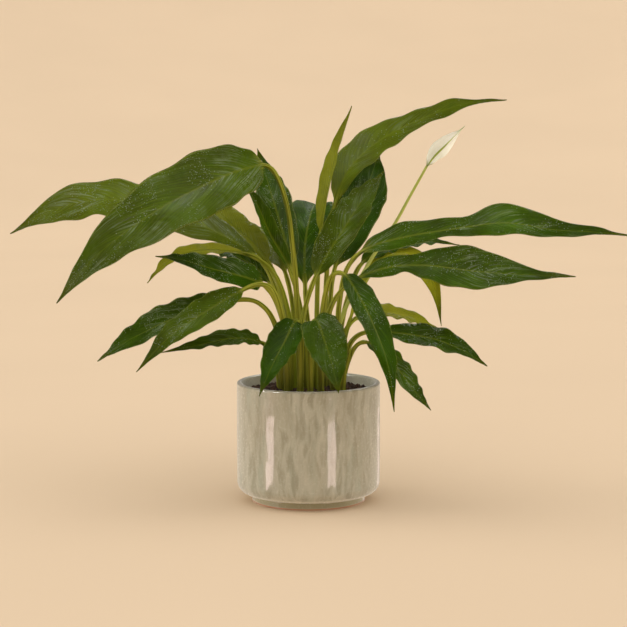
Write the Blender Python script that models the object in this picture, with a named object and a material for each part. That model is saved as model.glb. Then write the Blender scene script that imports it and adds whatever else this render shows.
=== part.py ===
"""A potted peace lily: a round glazed pot, its soil, the leaves and one flower.

Metres, +Z up. The origin is the centre of the pot's foot, on the surface that the pot
stands on. -Y is the side that the plant is looked at from.
"""

import math
from collections import namedtuple

import bmesh
import bpy
from mathutils import Matrix, Vector

MM = 0.001

# Driving dimensions of the pot and the soil
POT_RADIUS = 0.072
POT_HEIGHT = 0.120
WALL = 0.0055
FLOOR_THICKNESS = 0.012
LOWER_EDGE_RADIUS = 0.012
FOOT_RADIUS = 0.057
FOOT_HEIGHT = 0.008
RIM_ROUND = 0.0018
SOIL_BELOW_RIM = 0.009
SOIL_CHAMFER = 0.002
CLEARANCE = 0.0003
SEAT_DEPTH = 0.008
SOIL_TOP = POT_HEIGHT - SOIL_BELOW_RIM

# Driving dimensions of what grows
PETIOLE_RADIUS_AT_SOIL = 0.0033
PETIOLE_RADIUS_AT_BLADE = 0.0021
BLADE_THICKNESS = 0.0011
PLANT_SCALE = 1.0
SCAPE_RADIUS_AT_SOIL = 0.0028
SCAPE_RADIUS_AT_FLOWER = 0.0017
SPADIX_RADIUS = 0.0028
SPADIX_NECK_RADIUS = 0.0009
SPADIX_LENGTH = 0.026
SPADIX_LEAN = 0.16

POT_SIDES = 48
HOLE_SIDES = 10
INNER_ARC_STEPS = 3
RING_POINTS = 8
PETIOLE_RINGS = 7
BLADE_RINGS = 12

# Half width of a blade along its length, as shares of its greatest half width
BLADE_OUTLINE = ((0.0, 0.06), (0.07, 0.48), (0.2, 0.86), (0.4, 1.0), (0.6, 0.86), (0.8, 0.45), (0.92, 0.15),
                 (1.0, 0.015))
SPATHE_OUTLINE = ((0.0, 0.12), (0.12, 0.62), (0.35, 1.0), (0.6, 0.8), (0.8, 0.3), (1.0, 0.02))

LEAF_GREEN = (0.035, 0.115, 0.018)
LIGHT_GREEN = (0.11, 0.2, 0.03)

# Height at which every spine below starts, in the spines' millimetres
SPINE_FOOT = 100

# A leaf is one piece: its stalk runs along the spine from the soil to spine point blade_from,
# and its blade from there to the tip. spine is in millimetres, face_base and face_tip say
# which way the top of the blade looks, fold is the angle of the V across it in degrees, and
# wave is how far its margins ripple, in millimetres. A far over 1 puts its widest part nearer
# to the tip.
Leaf = namedtuple("Leaf", "name spine blade_from half_width face_base face_tip fold wave far color")


def leaf(name, spine, blade_from, half_width, face_base, face_tip, fold=16, wave=2.0, far=1.0,
         color=LEAF_GREEN):
    return Leaf(name, spine, blade_from, half_width, face_base, face_tip, fold, wave, far, color)


LEAVES = (
    leaf("leaf_left_large",
         ((-7, -9, 100), (-10, -10, 165), (-14, -20, 240), (-22, -34, 300), (-37, -48, 333),
          (-62, -58, 332), (-100, -70, 317), (-150, -85, 290), (-200, -100, 252), (-237, -110, 208)),
         4.2, 35, (0.1, -0.75, 0.65), (-0.1, -0.9, 0.4), fold=8, wave=2.5, far=0.95),
    leaf("leaf_left_back",
         ((-18, 7, 100), (-22, 9, 160), (-31, 14, 202), (-46, 24, 234), (-70, 36, 252), (-115, 56, 273),
          (-165, 74, 290), (-215, 86, 295), (-265, 92, 284), (-312, 95, 259)),
         3.2, 27, (0.0, -0.6, 0.8), (-0.1, -0.7, 0.7), fold=8, wave=2.5, far=1.5),
    leaf("leaf_left_hidden",
         ((-18, 18, 100), (-21, 22, 160), (-29, 34, 208), (-50, 52, 246), (-76, 70, 268),
          (-100, 86, 288), (-132, 105, 304)),
         2.6, 18, (0.0, -0.4, 0.9), (0.0, -0.3, 0.9)),
    leaf("leaf_back_left",
         ((-9, 23, 100), (-13, 30, 160), (-20, 50, 208), (-34, 95, 244), (-44, 135, 258),
          (-56, 175, 260), (-72, 215, 244)),
         2.3, 25, (0.0, -0.6, 0.8), (0.0, 0.3, 0.9)),
    leaf("leaf_left_narrow",
         ((-4, 3, 100), (-4, 3, 155), (-9, 4, 195), (-20, 5, 232), (-38, 7, 264), (-50, 8, 292),
          (-66, 10, 320)),
         2.9, 9, (0.5, -0.8, 0.3), (0.5, -0.8, 0.3), fold=38, wave=0.8),
    leaf("leaf_upper_left",
         ((-7, 13, 100), (-8, 14, 155), (-12, 18, 200), (-19, 25, 240), (-34, 46, 290), (-43, 62, 318),
          (-53, 80, 348)),
         2.8, 18, (0.2, -0.9, 0.3), (0.3, -0.9, 0.3)),
    leaf("leaf_back_centre",
         ((3, 13, 100), (1, 16, 155), (-3, 28, 200), (-4, 62, 246), (2, 112, 278), (8, 155, 286),
          (14, 205, 266)),
         2.2, 25, (0.0, -0.7, 0.7), (0.1, 0.2, 0.95)),
    leaf("leaf_spear",
         ((6, -4, 100), (8, 0, 160), (9, 5, 214), (12, 10, 264), (19, 14, 308), (30, 16, 352),
          (43, 18, 392)),
         3.0, 12, (-0.9, -0.45, 0.1), (-0.85, -0.5, 0.2), fold=30, wave=0.8),
    leaf("leaf_upper_right",
         ((16, 5, 100), (16, 10, 160), (18, 16, 218), (22, 24, 268), (37, 34, 322), (68, 50, 354),
          (114, 72, 378), (164, 92, 394), (207, 112, 398)),
         3.4, 19, (-0.6, -0.75, 0.3), (0.0, -0.6, 0.8), far=0.9),
    leaf("leaf_right_broad",
         ((18, 15, 100), (20, 20, 155), (22, 28, 195), (28, 42, 232), (50, 70, 284), (63, 90, 314),
          (74, 112, 344)),
         2.9, 27, (-0.2, -0.8, 0.5), (-0.2, -0.8, 0.4)),
    leaf("leaf_right_inner",
         ((-7, -21, 100), (-9, -22, 150), (-4, -18, 190), (10, -10, 230), (36, 1, 272), (55, 14, 300),
          (76, 28, 327)),
         2.8, 19, (-0.3, -0.85, 0.4), (-0.3, -0.8, 0.5), fold=24),
    leaf("leaf_right_long",
         ((24, -3, 100), (28, -6, 155), (31, -10, 200), (39, -16, 234), (60, -23, 254), (100, -34, 266),
          (145, -45, 274), (190, -53, 280), (235, -60, 274), (277, -66, 272), (309, -70, 269)),
         4.0, 21, (-0.1, -0.7, 0.7), (0.0, -0.6, 0.8), wave=3.0, far=1.2),
    leaf("leaf_right_second",
         ((11, -19, 100), (15, -23, 155), (19, -27, 185), (29, -33, 208), (48, -41, 225),
          (80, -50, 237), (118, -60, 239), (165, -69, 234), (212, -78, 232), (255, -85, 231)),
         3.9, 20, (-0.1, -0.8, 0.6), (0.0, -0.8, 0.6), wave=2.4, far=1.3),
    leaf("leaf_right_small",
         ((23, 33, 100), (31, 41, 155), (40, 54, 195), (54, 76, 228), (85, 106, 244), (124, 130, 248),
          (162, 150, 243)),
         3.0, 12, (0.0, -0.6, 0.8), (0.0, -0.4, 0.9)),
    leaf("leaf_right_arching",
         ((32, 9, 100), (34, 16, 140), (39, 26, 166), (49, 42, 194), (68, 70, 224), (92, 96, 238),
          (116, 116, 227), (134, 126, 198), (142, 132, 157)),
         2.3, 16, (-0.5, 0.5, 0.7), (0.8, 0.2, 0.5), color=LIGHT_GREEN),
    leaf("leaf_right_droop",
         ((13, -30, 100), (12, -33, 155), (15, -41, 201), (23, -51, 228), (35, -59, 230),
          (48, -68, 212), (63, -80, 183), (76, -92, 147), (82, -102, 103)),
         3.9, 16, (0.4, -0.7, 0.6), (0.5, -0.85, 0.2), wave=1.5),
    leaf("leaf_right_low_droop",
         ((32, -19, 100), (36, -21, 130), (44, -30, 153), (54, -39, 162), (68, -46, 157),
          (87, -54, 138), (104, -62, 116), (119, -68, 99)),
         3.2, 13, (0.3, -0.5, 0.8), (0.4, -0.8, 0.4), wave=1.5),
    leaf("leaf_right_low",
         ((34, -8, 100), (36, -8, 135), (43, -11, 159), (60, -13, 169), (91, -18, 168), (125, -25, 163),
          (152, -31, 153), (176, -38, 138)),
         3.4, 16, (0.0, -0.6, 0.8), (0.2, -0.6, 0.8)),
    leaf("leaf_right_light",
         ((30, 21, 100), (31, 29, 135), (37, 38, 162), (51, 52, 176), (79, 68, 178), (112, 86, 169),
          (145, 100, 153)),
         3.2, 16, (0.0, -0.4, 0.9), (0.2, -0.4, 0.9), color=LIGHT_GREEN),
    leaf("leaf_front_left_droop",
         ((-9, -31, 100), (-7, -37, 150), (-8, -46, 178), (-13, -56, 184), (-22, -68, 168),
          (-34, -80, 146), (-47, -94, 117)),
         2.8, 17, (-0.2, -0.8, 0.6), (-0.3, -0.9, 0.3)),
    leaf("leaf_front_right_droop",
         ((2, -34, 100), (2, -42, 150), (3, -51, 177), (8, -61, 186), (15, -75, 170), (23, -89, 146),
          (29, -101, 121)),
         2.6, 21, (0.1, -0.8, 0.6), (0.2, -0.9, 0.35)),
    leaf("leaf_left_middle",
         ((-19, -16, 100), (-20, -24, 152), (-27, -32, 188), (-40, -40, 215), (-62, -49, 227),
          (-93, -60, 236), (-119, -69, 245), (-146, -78, 250)),
         3.2, 17, (0.0, -0.75, 0.65), (0.0, -0.6, 0.8)),
    leaf("leaf_left_low_front",
         ((-21, -27, 100), (-22, -37, 154), (-26, -46, 190), (-34, -54, 214), (-46, -61, 221),
          (-64, -68, 216), (-96, -80, 198), (-130, -93, 176), (-163, -106, 142)),
         4.9, 15, (-0.1, -0.8, 0.6), (-0.2, -0.8, 0.5)),
    leaf("leaf_left_low_back",
         ((-27, -7, 100), (-27, -14, 146), (-32, -19, 174), (-43, -24, 194), (-61, -30, 203),
          (-92, -38, 198), (-135, -50, 185), (-173, -60, 167), (-204, -68, 147)),
         4.4, 20, (-0.1, -0.6, 0.75), (-0.2, -0.6, 0.7)),
    leaf("leaf_left_lowest",
         ((-28, 5, 100), (-31, 2, 130), (-38, -4, 150), (-53, -11, 160), (-77, -18, 163),
          (-108, -30, 158), (-145, -42, 152)),
         2.6, 12, (0.0, -0.6, 0.8), (0.0, -0.5, 0.85)),
    leaf("leaf_left_light",
         ((-15, -3, 100), (-16, -5, 155), (-22, -9, 195), (-34, -13, 227), (-56, -18, 245),
          (-85, -24, 251), (-117, -32, 250), (-141, -40, 238), (-157, -46, 221)),
         4.2, 12, (0.0, -0.4, 0.9), (-0.3, -0.3, 0.9), color=LIGHT_GREEN),
    leaf("leaf_back_left_low",
         ((-20, 28, 100), (-22, 32, 155), (-30, 44, 190), (-42, 60, 214), (-62, 78, 230),
          (-88, 98, 240), (-118, 118, 246)),
         2.8, 18, (0.0, -0.4, 0.9), (0.0, -0.3, 0.9)),
)

# The flower: its stalk from the soil, and the line down the middle of the hooded spathe
SCAPE_SPINE = ((13, 23, 100), (22, 25, 140), (38, 35, 188), (62, 54, 232), (88, 67, 270), (105, 74, 300),
               (122, 78, 330))
SPATHE_SPINE = ((122.3, 76.8, 330.6), (130, 72, 341), (140, 71, 351), (151, 75, 362), (161, 82, 371))
SPATHE_HALF_WIDTH = 0.011
SPATHE_CUP = 35
SPATHE_FACE = (-0.1, 0.97, 0.1)


def clear_scene():
    for obj in list(bpy.data.objects):
        bpy.data.objects.remove(obj, do_unlink=True)


def material(name, color, roughness):
    mat = bpy.data.materials.new(name)
    mat.use_nodes = True
    shader = mat.node_tree.nodes["Principled BSDF"]
    shader.inputs["Base Color"].default_value = (*color, 1.0)
    shader.inputs["Roughness"].default_value = roughness
    shader.inputs["Metallic"].default_value = 0.0
    mat.diffuse_color = (*color, 1.0)
    return mat


def add_object(name, bm, color, roughness):
    """Make bm an object with its own material, its faces turned out and shaded smooth."""
    bmesh.ops.recalc_face_normals(bm, faces=bm.faces)
    mesh = bpy.data.meshes.new(name)
    bm.to_mesh(mesh)
    bm.free()
    mesh.shade_smooth()
    mesh.set_sharp_from_angle(angle=math.radians(40))
    mesh.materials.append(material(name, color, roughness))
    obj = bpy.data.objects.new(name, mesh)
    bpy.context.scene.collection.objects.link(obj)
    return obj


def arc(center, radius, start, end, steps):
    """Points of an arc in a profile: (distance from the axis, height), angles in degrees."""
    points = []
    for i in range(steps + 1):
        angle = math.radians(start + (end - start) * i / steps)
        points.append((center[0] + radius * math.cos(angle), center[1] + radius * math.sin(angle)))
    return points


def turned(profile, sides):
    """A solid turned about Z from a profile that starts and ends on the axis."""
    bm = bmesh.new()
    verts = [bm.verts.new((r, 0.0, z)) for r, z in profile]
    edges = [bm.edges.new(pair) for pair in zip(verts, verts[1:])]
    bmesh.ops.spin(bm, geom=verts + edges, cent=(0, 0, 0), axis=(0, 0, 1), angle=math.tau, steps=sides,
                   use_merge=True)
    bmesh.ops.remove_doubles(bm, verts=bm.verts, dist=1e-6)
    bmesh.ops.dissolve_degenerate(bm, edges=bm.edges, dist=1e-7)
    return bm


def placed(spine):
    """The spine's points in metres, with its foot at the seats' depth in the soil."""
    foot = Vector((0.0, 0.0, SOIL_TOP - SEAT_DEPTH))
    return [foot + (Vector(p) - Vector((0.0, 0.0, SPINE_FOOT))) * MM * PLANT_SCALE for p in spine]


def grown(size):
    """A size that keeps pace with the plant."""
    return size * PLANT_SCALE


def smooth_curve(points, t):
    """The point at t on the smooth curve through the points; t counts them from 0."""
    last = len(points) - 1
    i = min(int(t), last - 1)
    u = t - i
    p1, p2 = Vector(points[i]), Vector(points[i + 1])
    p0 = Vector(points[i - 1]) if i > 0 else 2 * p1 - p2
    p3 = Vector(points[i + 2]) if i + 2 <= last else 2 * p2 - p1
    return 0.5 * (2 * p1 + (p2 - p0) * u + (2 * p0 - 5 * p1 + 4 * p2 - p3) * u ** 2
                  + (3 * p1 - p0 - 3 * p2 + p3) * u ** 3)


def tangent(points, t):
    step = 0.02
    last = len(points) - 1
    return (smooth_curve(points, min(t + step, last)) - smooth_curve(points, max(t - step, 0))).normalized()


def outline_at(outline, share):
    """The height of a smooth curve through the outline's points at a share of its length."""
    for i in range(len(outline) - 1):
        if share <= outline[i + 1][0]:
            u = (share - outline[i][0]) / (outline[i + 1][0] - outline[i][0])
            return max(smooth_curve([(0, 0, height) for _, height in outline], i + u).z, outline[-1][1])
    return outline[-1][1]


def across(direction, face):
    """The two directions across a spine: sideways, and out of the top of the blade."""
    top = (face - direction * face.dot(direction)).normalized()
    return direction.cross(top).normalized(), top


def round_ring(center, side, top, radius):
    ring = []
    for i in range(RING_POINTS):
        angle = math.tau * i / RING_POINTS
        ring.append(center + side * radius * math.cos(angle) + top * radius * math.sin(angle))
    return ring


def blade_ring(center, side, top, half_width, fold, thickness, ripple):
    """A thin V: its middle, half way out on each side, and its two sharp margins."""
    rise = math.tan(math.radians(fold))
    half = thickness / 2
    ring = []
    for i in range(RING_POINTS):
        angle = math.tau * i / RING_POINTS
        out = half_width * math.cos(angle) * (1.0 if i % 4 == 0 else 0.78)
        lift = abs(out) * rise + half * math.sin(angle)
        lift += (ripple[0] if out > 0 else ripple[1]) * (abs(out) / half_width) ** 2
        ring.append(center + side * out + top * lift)
    return ring


def lofted(rings):
    """A closed body through rings of equal count, with its ends filled.

    The top and the underside are split along the same diagonals, so that the two can't cross where they are thin.
    """
    bm = bmesh.new()
    rows = [[bm.verts.new(p) for p in ring] for ring in rings]
    for low, high in zip(rows, rows[1:]):
        for i in range(RING_POINTS):
            j = (i + 1) % RING_POINTS
            if i < RING_POINTS // 2:
                bm.faces.new((low[i], low[j], high[j]))
                bm.faces.new((low[i], high[j], high[i]))
            else:
                bm.faces.new((low[i], low[j], high[i]))
                bm.faces.new((low[j], high[j], high[i]))
    bm.faces.new(reversed(rows[0]))
    bm.faces.new(rows[-1])
    return bm


def stalk_rings(spine, end, face, radius_low, radius_high, count):
    rings = []
    for i in range(count):
        t = end * i / count
        side, top = across(tangent(spine, t), face)
        radius = radius_low + (radius_high - radius_low) * t / end
        rings.append(round_ring(smooth_curve(spine, t), side, top, radius))
    return rings


def build_leaf(spec):
    spine = placed(spec.spine)
    last = len(spine) - 1
    face_base = Vector(spec.face_base)
    face_tip = Vector(spec.face_tip)
    rings = stalk_rings(spine, spec.blade_from, face_base, grown(PETIOLE_RADIUS_AT_SOIL),
                        grown(PETIOLE_RADIUS_AT_BLADE), PETIOLE_RINGS)
    for i in range(BLADE_RINGS + 1):
        share = i / BLADE_RINGS
        t = spec.blade_from + (last - spec.blade_from) * share
        side, top = across(tangent(spine, t), face_base.lerp(face_tip, share))
        half_width = grown(spec.half_width * MM) * outline_at(BLADE_OUTLINE, share ** spec.far)
        swell = math.sin(math.pi * share) * spec.wave * MM
        ripple = (swell * math.sin(13 * share), swell * math.sin(11 * share + 2))
        thickness = BLADE_THICKNESS + (2 * grown(PETIOLE_RADIUS_AT_BLADE) - BLADE_THICKNESS) * (1 - share) ** 6
        fold = spec.fold * min(1.0, 6 * share)
        rings.append(blade_ring(smooth_curve(spine, t), side, top, half_width, fold, thickness, ripple))
    return add_object(spec.name, lofted(rings), spec.color, 0.4)


def build_scape():
    spine = placed(SCAPE_SPINE)
    last = len(spine) - 1
    flower_end = grown(SCAPE_RADIUS_AT_FLOWER)
    rings = stalk_rings(spine, last, Vector((0, -1, 0.2)), grown(SCAPE_RADIUS_AT_SOIL), flower_end, 14)
    side, top = across(tangent(spine, last), Vector((0, -1, 0.2)))
    rings.append(round_ring(spine[-1], side, top, flower_end))
    return add_object("flower_stalk", lofted(rings), (0.16, 0.28, 0.06), 0.45)


def build_spathe():
    """The white hood: a blade bent round the flower's axis, with a drawn-out tip."""
    spine = placed(SPATHE_SPINE)
    last = len(spine) - 1
    rings = []
    for i in range(BLADE_RINGS + 1):
        share = i / BLADE_RINGS
        t = last * share
        side, top = across(tangent(spine, t), Vector(SPATHE_FACE))
        half_width = grown(SPATHE_HALF_WIDTH) * outline_at(SPATHE_OUTLINE, share)
        center = smooth_curve(spine, t)
        rings.append(blade_ring(center, side, top, half_width, SPATHE_CUP, BLADE_THICKNESS, (0, 0)))
    return add_object("spathe", lofted(rings), (0.75, 0.74, 0.66), 0.5)


def build_spadix():
    """The blunt spike inside the hood, on a short neck that stands on the stalk's end."""
    spine = placed(SCAPE_SPINE)
    _, top = across(tangent(spine, len(spine) - 1), Vector(SPATHE_FACE))
    axis = (Vector(SPATHE_SPINE[-1]) - Vector(SPATHE_SPINE[0])).normalized() + top * SPADIX_LEAN
    neck = grown(SPADIX_NECK_RADIUS)
    foot = spine[-1] + tangent(spine, len(spine) - 1) * 2 * CLEARANCE + top * neck
    radius = grown(SPADIX_RADIUS)
    length = grown(SPADIX_LENGTH)
    profile = [(0.0, 0.0), (neck, 0.0), (neck, 2 * neck), (radius, 2 * radius)]
    profile += arc((0.0, length - radius), radius, 0, 90, 4)[:-1] + [(0.0, length)]
    bm = turned(profile, 10)
    turn = axis.to_track_quat("Z", "Y").to_matrix().to_4x4()
    bmesh.ops.transform(bm, matrix=Matrix.Translation(foot) @ turn, verts=bm.verts)
    return add_object("spadix", bm, (0.62, 0.6, 0.3), 0.7)


def build_pot():
    inner = POT_RADIUS - WALL
    edge = LOWER_EDGE_RADIUS
    body_bottom = FOOT_HEIGHT
    profile = [(0.0, 0.0), (FOOT_RADIUS, 0.0), (FOOT_RADIUS, body_bottom)]
    profile += arc((POT_RADIUS - edge, body_bottom + edge), edge, -80, 0, 4)
    profile += arc((POT_RADIUS - RIM_ROUND, POT_HEIGHT - RIM_ROUND), RIM_ROUND, 0, 90, 2)
    profile += arc((inner + RIM_ROUND, POT_HEIGHT - RIM_ROUND), RIM_ROUND, 90, 180, 2)
    profile += [(inner, FLOOR_THICKNESS + edge)]
    profile += arc((inner - edge, FLOOR_THICKNESS + edge), edge, 0, -90, INNER_ARC_STEPS)[1:]
    profile += [(0.0, FLOOR_THICKNESS)]
    return add_object("pot", turned(profile, POT_SIDES), (0.33, 0.3, 0.2), 0.2)


def seat_cutter(name, spine, radius):
    """A short post along the foot of a stalk, a clearance wider and deeper than it."""
    foot = spine[0]
    direction = tangent(spine, 0.05)
    length = 4 * SEAT_DEPTH
    bm = bmesh.new()
    bmesh.ops.create_cone(bm, cap_ends=True, segments=HOLE_SIDES, radius1=radius + CLEARANCE,
                          radius2=radius + CLEARANCE, depth=length)
    turn = direction.to_track_quat("Z", "Y").to_matrix().to_4x4()
    middle = foot + direction * (length / 2 - CLEARANCE)
    bmesh.ops.transform(bm, matrix=Matrix.Translation(middle) @ turn, verts=bm.verts)
    return add_cutter(name, bm)


def add_cutter(name, bm):
    mesh = bpy.data.meshes.new(name)
    bm.to_mesh(mesh)
    bm.free()
    obj = bpy.data.objects.new(name, mesh)
    obj.hide_render = True
    obj.display_type = "WIRE"
    bpy.context.scene.collection.objects.link(obj)
    return obj


def build_soil():
    """The soil fills the pot to below its rim, a clearance off the wall and the floor."""
    inner = POT_RADIUS - WALL
    edge = LOWER_EDGE_RADIUS
    radius = inner - CLEARANCE
    profile = [(0.0, FLOOR_THICKNESS + CLEARANCE)]
    profile += arc((inner - edge, FLOOR_THICKNESS + edge), edge - CLEARANCE, -90, 0, INNER_ARC_STEPS)
    profile += [(radius, SOIL_TOP - SOIL_CHAMFER), (radius - SOIL_CHAMFER, SOIL_TOP), (0.0, SOIL_TOP)]
    soil = add_object("soil", turned(profile, POT_SIDES), (0.03, 0.02, 0.014), 0.9)
    stalks = [(spec.name, placed(spec.spine), grown(PETIOLE_RADIUS_AT_SOIL)) for spec in LEAVES]
    stalks.append(("flower", placed(SCAPE_SPINE), grown(SCAPE_RADIUS_AT_SOIL)))
    for name, spine, stalk_radius in stalks:
        cut = soil.modifiers.new("seat_" + name, "BOOLEAN")
        cut.operation = "DIFFERENCE"
        cut.solver = "EXACT"
        cut.object = seat_cutter("seat_" + name, spine, stalk_radius)
    return soil


def main():
    clear_scene()
    build_pot()
    build_soil()
    for spec in LEAVES:
        build_leaf(spec)
    build_scape()
    build_spathe()
    build_spadix()


main()
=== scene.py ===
"""Potted peace lily: the glazed pot, the soil, the leaves, the flower and a plain stage.

Sizes are in metres unless a name says otherwise, +Z is up and -Y is the front.
"""

import math
import random
from collections import namedtuple

import bmesh
import bpy
import numpy as np
from mathutils import Euler, Matrix, Vector, noise


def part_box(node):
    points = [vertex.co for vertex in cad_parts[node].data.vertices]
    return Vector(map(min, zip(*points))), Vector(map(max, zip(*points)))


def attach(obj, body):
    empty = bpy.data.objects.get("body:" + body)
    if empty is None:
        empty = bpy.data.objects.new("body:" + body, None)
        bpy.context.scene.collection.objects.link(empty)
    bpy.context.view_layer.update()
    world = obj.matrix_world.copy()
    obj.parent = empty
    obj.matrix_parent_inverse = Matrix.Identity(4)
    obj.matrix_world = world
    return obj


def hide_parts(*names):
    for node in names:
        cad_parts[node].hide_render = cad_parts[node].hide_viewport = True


bl_info = {
    "name": "Potted Peace Lily",
    "version": (1, 0, 0),
    "blender": (4, 5, 0),
    "location": "View3D > Sidebar > Peace Lily",
    "description": "Builds a potted peace lily around its frame",
    "category": "Object",
}

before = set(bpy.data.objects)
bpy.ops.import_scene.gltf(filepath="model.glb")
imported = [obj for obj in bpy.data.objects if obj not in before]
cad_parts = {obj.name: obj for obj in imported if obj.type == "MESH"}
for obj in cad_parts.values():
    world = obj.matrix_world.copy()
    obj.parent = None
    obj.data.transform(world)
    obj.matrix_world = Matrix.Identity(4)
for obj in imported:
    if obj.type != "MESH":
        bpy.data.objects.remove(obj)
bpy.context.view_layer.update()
POT_LOW, POT_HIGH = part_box("pot")
SOIL_LOW, SOIL_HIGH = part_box("soil")
STALK_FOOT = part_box("leaf_spear")[0][2]

MM = 0.001
POT_RADIUS = (POT_HIGH[0] - POT_LOW[0]) / 2
POT_HEIGHT = POT_HIGH[2]
SOIL_TOP = SOIL_HIGH[2]
SOIL_RADIUS = (SOIL_HIGH[0] - SOIL_LOW[0]) / 2
SPINE_FOOT = 100

# Rings along a leaf, points round each ring, and the share of the rings that the stalk takes
LEAF_RINGS = 210
LEAF_ROUND = 60
STALK_SHARE = 0.22
CURVE_SAMPLES = 500

# Half width of a blade along its length, as shares of its greatest half width
BLADE_OUTLINE = ((0.0, 0.07), (0.035, 0.26), (0.09, 0.55), (0.2, 0.86), (0.38, 1.0), (0.58, 0.89),
                 (0.76, 0.56), (0.88, 0.25), (0.95, 0.09), (1.0, 0.012))
SPATHE_OUTLINE = ((0.0, 0.12), (0.12, 0.6), (0.35, 1.0), (0.58, 0.86), (0.76, 0.42), (0.87, 0.12),
                  (1.0, 0.02))

# Sizes of a blade's details. A blade with the full half width has the full relief, and a smaller
# one has less.
VEINS_ALONG = 30
LEAST_VEIN_PITCH = 0.0052
FULL_HALF_WIDTH = 0.022
FINE_RELIEF = 0.0017
UNEVEN_WIDTH = 0.075
BULGE_REACH = 0.11
RIB_REACH = 0.0016
GROOVE_DEPTH = 0.0005
KEEL_DEPTH = 0.0016
UNDERSIDE_ANGLE = math.pi + 1e-4

# A leaf's spine runs from the soil to the tip in millimetres; its blade starts at spine point
# blade_from. face_base and face_tip say which way the top of the blade looks, fold is the angle
# of its V in degrees, wave the ripple of its margins in millimetres, far where it is widest,
# tone how light it is, the next field how much dried water and painted highlight streaking
# show on it, and bulges holds places along the blade with how much wider or narrower it is there.
Leaf = namedtuple(
    "Leaf", "name spine blade_from half_width face_base face_tip fold wave far tone spots slot bulges",
    defaults=(16, 2.0, 1.0, 0.2, 0.4, "leaf", ()))

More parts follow.
